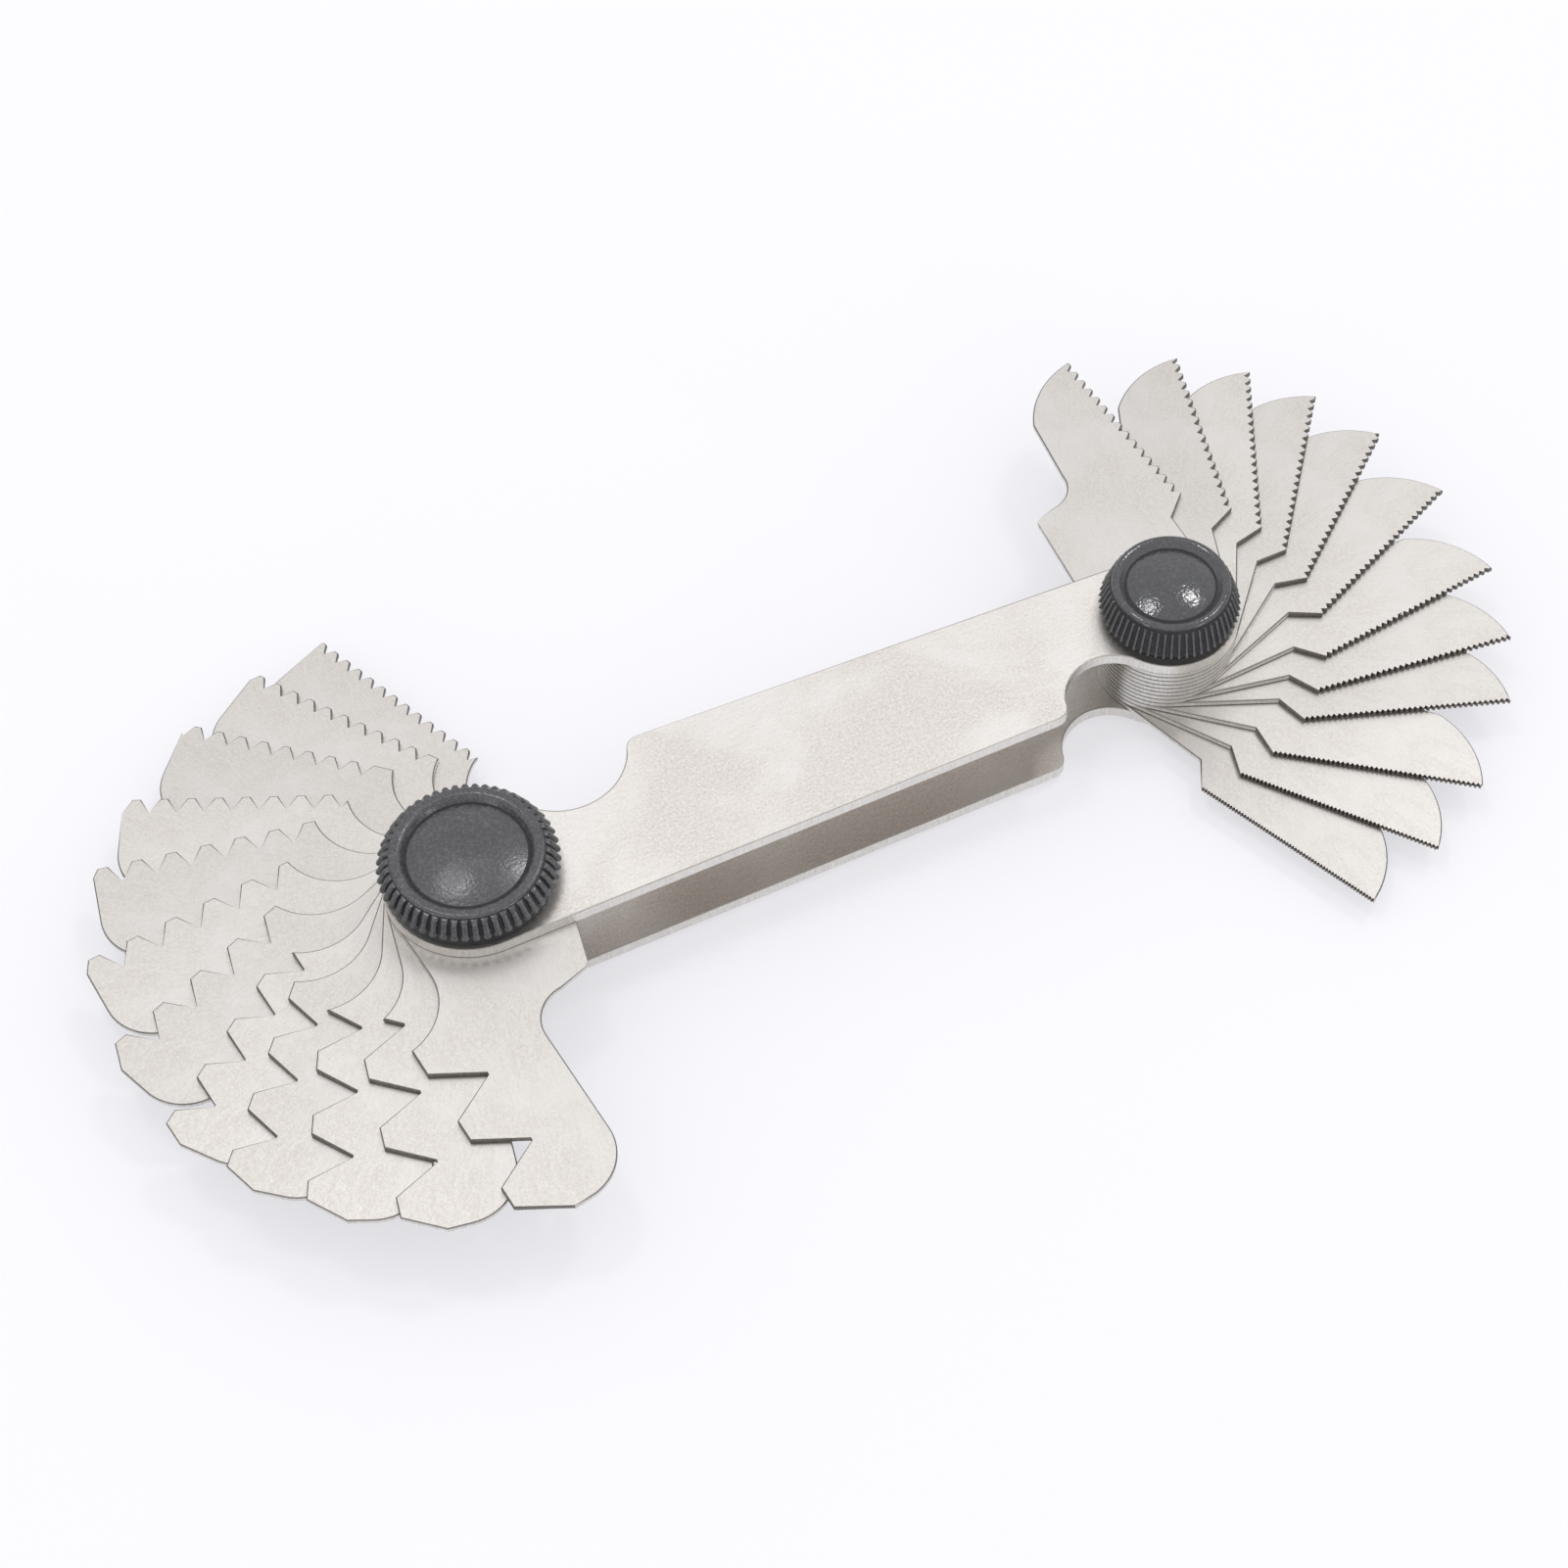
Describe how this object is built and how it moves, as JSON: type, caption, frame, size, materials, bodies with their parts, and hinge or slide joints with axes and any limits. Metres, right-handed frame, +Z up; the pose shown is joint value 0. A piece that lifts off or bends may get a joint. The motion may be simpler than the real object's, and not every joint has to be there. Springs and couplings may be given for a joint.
{
  "type": "thread pitch gauge",
  "caption": "Metric screw pitch gauge: fans of thin toothed leaves swing out on two pivot screws between slim side plates and are locked by knurled knobs.",
  "frame": {"origin": "on the coarse pivot axis, at the underside of the coarse pivot screw head, where the gauge rests", "axes": "+X from the coarse pivot to the fine pivot, +Z up through the stack towards the knobs, +Y completes the right-handed frame"},
  "size_m": [0.1074, 0.0547, 0.0116],
  "materials": {
    "plate_steel": "satin stamped steel, fine mottled grain",
    "leaf_steel": "satin steel sheet, faint grain",
    "screw_steel": "turned steel",
    "insert_brass": "machined",
    "knob_satin": "satin black moulding",
    "knob_gloss": "gloss black moulding"
  },
  "bodies": {
    "frame": {"bottom_plate": "plate_steel", "top_plate": "plate_steel", "pivot_screw_coarse": "screw_steel", "pivot_screw_fine": "screw_steel"},
    "knob_coarse": {"knurled_knob_coarse": "knob_satin", "threaded_insert_coarse": "insert_brass"},
    "knob_fine": {"knurled_knob_fine": "knob_gloss", "threaded_insert_fine": "insert_brass"},
    "leaf_1_25": {"leaf_1_25": "leaf_steel"},
    "leaf_1_50": {"leaf_1_50": "leaf_steel"},
    "leaf_1_75": {"leaf_1_75": "leaf_steel"},
    "leaf_2_00": {"leaf_2_00": "leaf_steel"},
    "leaf_2_50": {"leaf_2_50": "leaf_steel"},
    "leaf_3_00": {"leaf_3_00": "leaf_steel"},
    "leaf_3_50": {"leaf_3_50": "leaf_steel"},
    "leaf_4_00": {"leaf_4_00": "leaf_steel"},
    "leaf_4_50": {"leaf_4_50": "leaf_steel"},
    "leaf_5_00": {"leaf_5_00": "leaf_steel"},
    "leaf_5_50": {"leaf_5_50": "leaf_steel"},
    "leaf_6_00": {"leaf_6_00": "leaf_steel"},
    "leaf_0_25": {"leaf_0_25": "leaf_steel"},
    "leaf_0_30": {"leaf_0_30": "leaf_steel"},
    "leaf_0_35": {"leaf_0_35": "leaf_steel"},
    "leaf_0_40": {"leaf_0_40": "leaf_steel"},
    "leaf_0_45": {"leaf_0_45": "leaf_steel"},
    "leaf_0_50": {"leaf_0_50": "leaf_steel"},
    "leaf_0_60": {"leaf_0_60": "leaf_steel"},
    "leaf_0_70": {"leaf_0_70": "leaf_steel"},
    "leaf_0_75": {"leaf_0_75": "leaf_steel"},
    "leaf_0_80": {"leaf_0_80": "leaf_steel"},
    "leaf_0_90": {"leaf_0_90": "leaf_steel"},
    "leaf_1_00": {"leaf_1_00": "leaf_steel"}
  },
  "joints": [
    {"name": "leaf_1_25_swing", "type": "hinge", "parent": "frame", "child": "leaf_1_25", "pos_m": [0, 0, 0.004], "axis": [0, 0, 1], "range_deg": [-96, 264]},
    {"name": "leaf_1_50_swing", "type": "hinge", "parent": "frame", "child": "leaf_1_50", "pos_m": [0, 0, 0.004], "axis": [0, 0, 1], "range_deg": [-107.7, 252.3]},
    {"name": "leaf_1_75_swing", "type": "hinge", "parent": "frame", "child": "leaf_1_75", "pos_m": [0, 0, 0.004], "axis": [0, 0, 1], "range_deg": [-121.6, 238.4]},
    {"name": "leaf_2_00_swing", "type": "hinge", "parent": "frame", "child": "leaf_2_00", "pos_m": [0, 0, 0.004], "axis": [0, 0, 1], "range_deg": [-138, 222]},
    {"name": "leaf_2_50_swing", "type": "hinge", "parent": "frame", "child": "leaf_2_50", "pos_m": [0, 0, 0.004], "axis": [0, 0, 1], "range_deg": [-151.4, 208.6]},
    {"name": "leaf_3_00_swing", "type": "hinge", "parent": "frame", "child": "leaf_3_00", "pos_m": [0, 0, 0.004], "axis": [0, 0, 1], "range_deg": [-168.1, 191.9]},
    {"name": "leaf_3_50_swing", "type": "hinge", "parent": "frame", "child": "leaf_3_50", "pos_m": [0, 0, 0.004], "axis": [0, 0, 1], "range_deg": [-184.5, 175.5]},
    {"name": "leaf_4_00_swing", "type": "hinge", "parent": "frame", "child": "leaf_4_00", "pos_m": [0, 0, 0.004], "axis": [0, 0, 1], "range_deg": [-201.1, 158.9]},
    {"name": "leaf_4_50_swing", "type": "hinge", "parent": "frame", "child": "leaf_4_50", "pos_m": [0, 0, 0.004], "axis": [0, 0, 1], "range_deg": [-213.7, 146.3]},
    {"name": "leaf_5_00_swing", "type": "hinge", "parent": "frame", "child": "leaf_5_00", "pos_m": [0, 0, 0.004], "axis": [0, 0, 1], "range_deg": [-227.6, 132.4]},
    {"name": "leaf_5_50_swing", "type": "hinge", "parent": "frame", "child": "leaf_5_50", "pos_m": [0, 0, 0.004], "axis": [0, 0, 1], "range_deg": [-242.1, 117.9]},
    {"name": "leaf_6_00_swing", "type": "hinge", "parent": "frame", "child": "leaf_6_00", "pos_m": [0, 0, 0.004], "axis": [0, 0, 1], "range_deg": [-259, 101]},
    {"name": "leaf_0_25_swing", "type": "hinge", "parent": "frame", "child": "leaf_0_25", "pos_m": [0.0548, 0, 0.004], "axis": [0, 0, 1], "range_deg": [-103.8, 256.2]},
    {"name": "leaf_0_30_swing", "type": "hinge", "parent": "frame", "child": "leaf_0_30", "pos_m": [0.0548, 0, 0.004], "axis": [0, 0, 1], "range_deg": [-118.2, 241.8]},
    {"name": "leaf_0_35_swing", "type": "hinge", "parent": "frame", "child": "leaf_0_35", "pos_m": [0.0548, 0, 0.004], "axis": [0, 0, 1], "range_deg": [-132.1, 227.9]},
    {"name": "leaf_0_40_swing", "type": "hinge", "parent": "frame", "child": "leaf_0_40", "pos_m": [0.0548, 0, 0.004], "axis": [0, 0, 1], "range_deg": [-149.5, 210.5]},
    {"name": "leaf_0_45_swing", "type": "hinge", "parent": "frame", "child": "leaf_0_45", "pos_m": [0.0548, 0, 0.004], "axis": [0, 0, 1], "range_deg": [-161.7, 198.3]},
    {"name": "leaf_0_50_swing", "type": "hinge", "parent": "frame", "child": "leaf_0_50", "pos_m": [0.0548, 0, 0.004], "axis": [0, 0, 1], "range_deg": [-175.6, 184.4]},
    {"name": "leaf_0_60_swing", "type": "hinge", "parent": "frame", "child": "leaf_0_60", "pos_m": [0.0548, 0, 0.004], "axis": [0, 0, 1], "range_deg": [-193, 167]},
    {"name": "leaf_0_70_swing", "type": "hinge", "parent": "frame", "child": "leaf_0_70", "pos_m": [0.0548, 0, 0.004], "axis": [0, 0, 1], "range_deg": [-208.2, 151.8]},
    {"name": "leaf_0_75_swing", "type": "hinge", "parent": "frame", "child": "leaf_0_75", "pos_m": [0.0548, 0, 0.004], "axis": [0, 0, 1], "range_deg": [-221.4, 138.6]},
    {"name": "leaf_0_80_swing", "type": "hinge", "parent": "frame", "child": "leaf_0_80", "pos_m": [0.0548, 0, 0.004], "axis": [0, 0, 1], "range_deg": [-233.6, 126.4]},
    {"name": "leaf_0_90_swing", "type": "hinge", "parent": "frame", "child": "leaf_0_90", "pos_m": [0.0548, 0, 0.004], "axis": [0, 0, 1], "range_deg": [-246.4, 113.6]},
    {"name": "leaf_1_00_swing", "type": "hinge", "parent": "frame", "child": "leaf_1_00", "pos_m": [0.0548, 0, 0.004], "axis": [0, 0, 1], "range_deg": [-265.5, 94.5]},
    {"name": "knob_coarse_turn", "type": "hinge", "parent": "frame", "child": "knob_coarse", "pos_m": [0, 0, 0.009], "axis": [0, 0, 1], "range_deg": [0, 360]},
    {"name": "knob_fine_turn", "type": "hinge", "parent": "frame", "child": "knob_fine", "pos_m": [0.0548, 0, 0.009], "axis": [0, 0, 1], "range_deg": [0, 360]}
  ]
}
